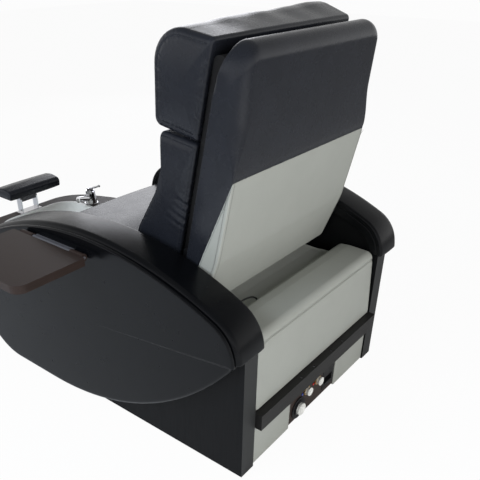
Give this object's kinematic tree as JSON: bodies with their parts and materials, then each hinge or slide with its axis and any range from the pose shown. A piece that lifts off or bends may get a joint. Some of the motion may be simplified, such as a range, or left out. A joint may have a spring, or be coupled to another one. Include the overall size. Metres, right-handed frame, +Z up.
{
  "type": "pedicure spa chair",
  "caption": "Padded reclining salon chair with arched arm pads on boat-shaped side shells, a foot bowl with mixer tap in front, folding side trays and a rear plumbing bay.",
  "frame": {"origin": "on the floor, in the middle of the overall box", "axes": "+Z up, the sitter faces -Y, the sitter's left is +X"},
  "size_m": [1.352, 1.428, 1.0992],
  "materials": {
    "black_vinyl": "soft grain, semi-gloss",
    "grey_vinyl": "soft grain, semi-matt",
    "grey_panel": "soft grain, semi-matt",
    "black_laminate": "black laminated board, satin",
    "dark_plate": "dark brown laminate, satin",
    "black_plastic": "matt",
    "white_plastic": "gloss",
    "inlet_brass": "turned",
    "marker_paint": "gloss dots, blue for cold and red for hot",
    "steel": "powder coated",
    "chrome": "polished"
  },
  "bodies": {
    "base": {"arm_pad_left": "black_vinyl", "arm_pad_right": "black_vinyl", "base_frame": "steel", "basin_bowl": "white_plastic", "basin_deck": "dark_plate", "basin_skirt": "dark_plate", "cold_hose": "black_plastic", "cold_inlet": "inlet_brass", "crossbar_screws": "steel", "drain_cap": "white_plastic", "drain_outlet": "black_plastic", "drain_pipe": "black_plastic", "faucet_body": "chrome", "footrest_stand": "chrome", "hot_hose": "black_plastic", "hot_inlet": "inlet_brass", "inlet_caps": "white_plastic", "inlet_markers": "marker_paint", "jet_button_bezel": "chrome", "jet_cover": "white_plastic", "jet_housing": "black_plastic", "jet_motor": "black_plastic", "plumbing_plate": "dark_plate", "power_inlet": "black_plastic", "rear_crossbar": "black_laminate", "rear_deck_pad": "grey_vinyl", "rear_face_panel": "grey_vinyl", "rear_lead": "black_plastic", "rear_panel_left": "grey_panel", "rear_panel_right": "grey_panel", "side_board_left": "black_laminate", "side_board_right": "black_laminate", "side_shell_left": "black_vinyl", "side_shell_right": "black_vinyl", "switch_plate": "black_plastic", "tray_brackets": "steel", "trough_liner": "grey_vinyl", "waste_seat": "chrome"},
    "seat": {"seat_carriage": "steel", "seat_cushion": "black_vinyl"},
    "back": {"back_board": "black_laminate", "back_cover_lower": "grey_vinyl", "back_cover_upper": "black_vinyl", "headrest_cushion": "black_vinyl", "lumbar_cushion": "black_vinyl", "back_hinge": "steel"},
    "motor": {"recline_motor": "black_plastic"},
    "motor_rod": {"recline_rod": "steel"},
    "tray_left_body": {"tray_left": "dark_plate"},
    "tray_right_body": {"tray_right": "dark_plate"},
    "footrest": {"footrest_arm": "steel", "footrest_pad": "black_vinyl"},
    "mixer_cap": {"faucet_cap": "chrome"},
    "mixer_lever": {"faucet_lever": "chrome"},
    "plug": {"waste_plug": "chrome"},
    "button": {"jet_button": "white_plastic"},
    "impeller": {"jet_impeller": "black_plastic"},
    "slide_rocker": {"slide_switch": "black_plastic"},
    "recline_rocker": {"recline_switch": "black_plastic"}
  },
  "joints": [
    {"name": "seat_slide", "type": "slide", "parent": "base", "child": "seat", "axis": [0, -1, 0], "range_m": [0, 0.1]},
    {"name": "back_recline", "type": "hinge", "parent": "seat", "child": "back", "pos_m": [0, 0.39748, 0.4], "axis": [-1, 0, 0], "range_deg": [0, 22]},
    {"name": "motor_tilt", "type": "hinge", "parent": "seat", "child": "motor", "pos_m": [0, 0.06748, 0.3], "axis": [1, 0, 0], "range_deg": [0, 1.5]},
    {"name": "motor_rod_slide", "type": "slide", "parent": "motor", "child": "motor_rod", "axis": [0, -1, 0], "range_m": [0, 0.0385]},
    {"name": "tray_left_fold", "type": "hinge", "parent": "base", "child": "tray_left_body", "pos_m": [0.455, 0.093, 0.549], "axis": [0, 1, 0], "range_deg": [0, 90]},
    {"name": "tray_right_fold", "type": "hinge", "parent": "base", "child": "tray_right_body", "pos_m": [-0.455, 0.093, 0.549], "axis": [0, -1, 0], "range_deg": [0, 90]},
    {"name": "footrest_tilt", "type": "hinge", "parent": "base", "child": "footrest", "pos_m": [0, -0.682, 0.372], "axis": [1, 0, 0], "range_deg": [-30, 30]},
    {"name": "faucet_turn", "type": "hinge", "parent": "base", "child": "mixer_cap", "pos_m": [-0.215, -0.545, 0.361], "axis": [0, 0, 1], "range_deg": [-45, 45]},
    {"name": "faucet_lift", "type": "hinge", "parent": "mixer_cap", "child": "mixer_lever", "pos_m": [-0.215, -0.545, 0.378], "axis": [1, 0, 0], "range_deg": [0, 25]},
    {"name": "plug_lift", "type": "slide", "parent": "base", "child": "plug", "axis": [0, 0, 1], "range_m": [0, 0.008]},
    {"name": "jet_button_press", "type": "slide", "parent": "base", "child": "button", "axis": [0, 0, -1], "range_m": [0, 0.004], "stiffness_N_per_m": 500, "springref_m": -0.002},
    {"name": "impeller_spin", "type": "hinge", "parent": "base", "child": "impeller", "pos_m": [0, -0.33865, 0.221], "axis": [0, -0.968, 0.2508], "continuous": true},
    {"name": "slide_switch_rock", "type": "hinge", "parent": "base", "child": "slide_rocker", "pos_m": [-0.3266, -0.054, 0.486], "axis": [0, 0, 1], "range_deg": [-5, 5], "stiffness_Nm_per_rad": 0.3},
    {"name": "recline_switch_rock", "type": "hinge", "parent": "base", "child": "recline_rocker", "pos_m": [-0.3266, -0.006, 0.486], "axis": [0, 0, 1], "range_deg": [-5, 5], "stiffness_Nm_per_rad": 0.3}
  ],
  "couplings": [
    {"joint": "motor_tilt", "follows": "back_recline", "ratio": 0.053},
    {"joint": "motor_rod_slide", "follows": "back_recline", "m_per_rad": 0.0974}
  ]
}
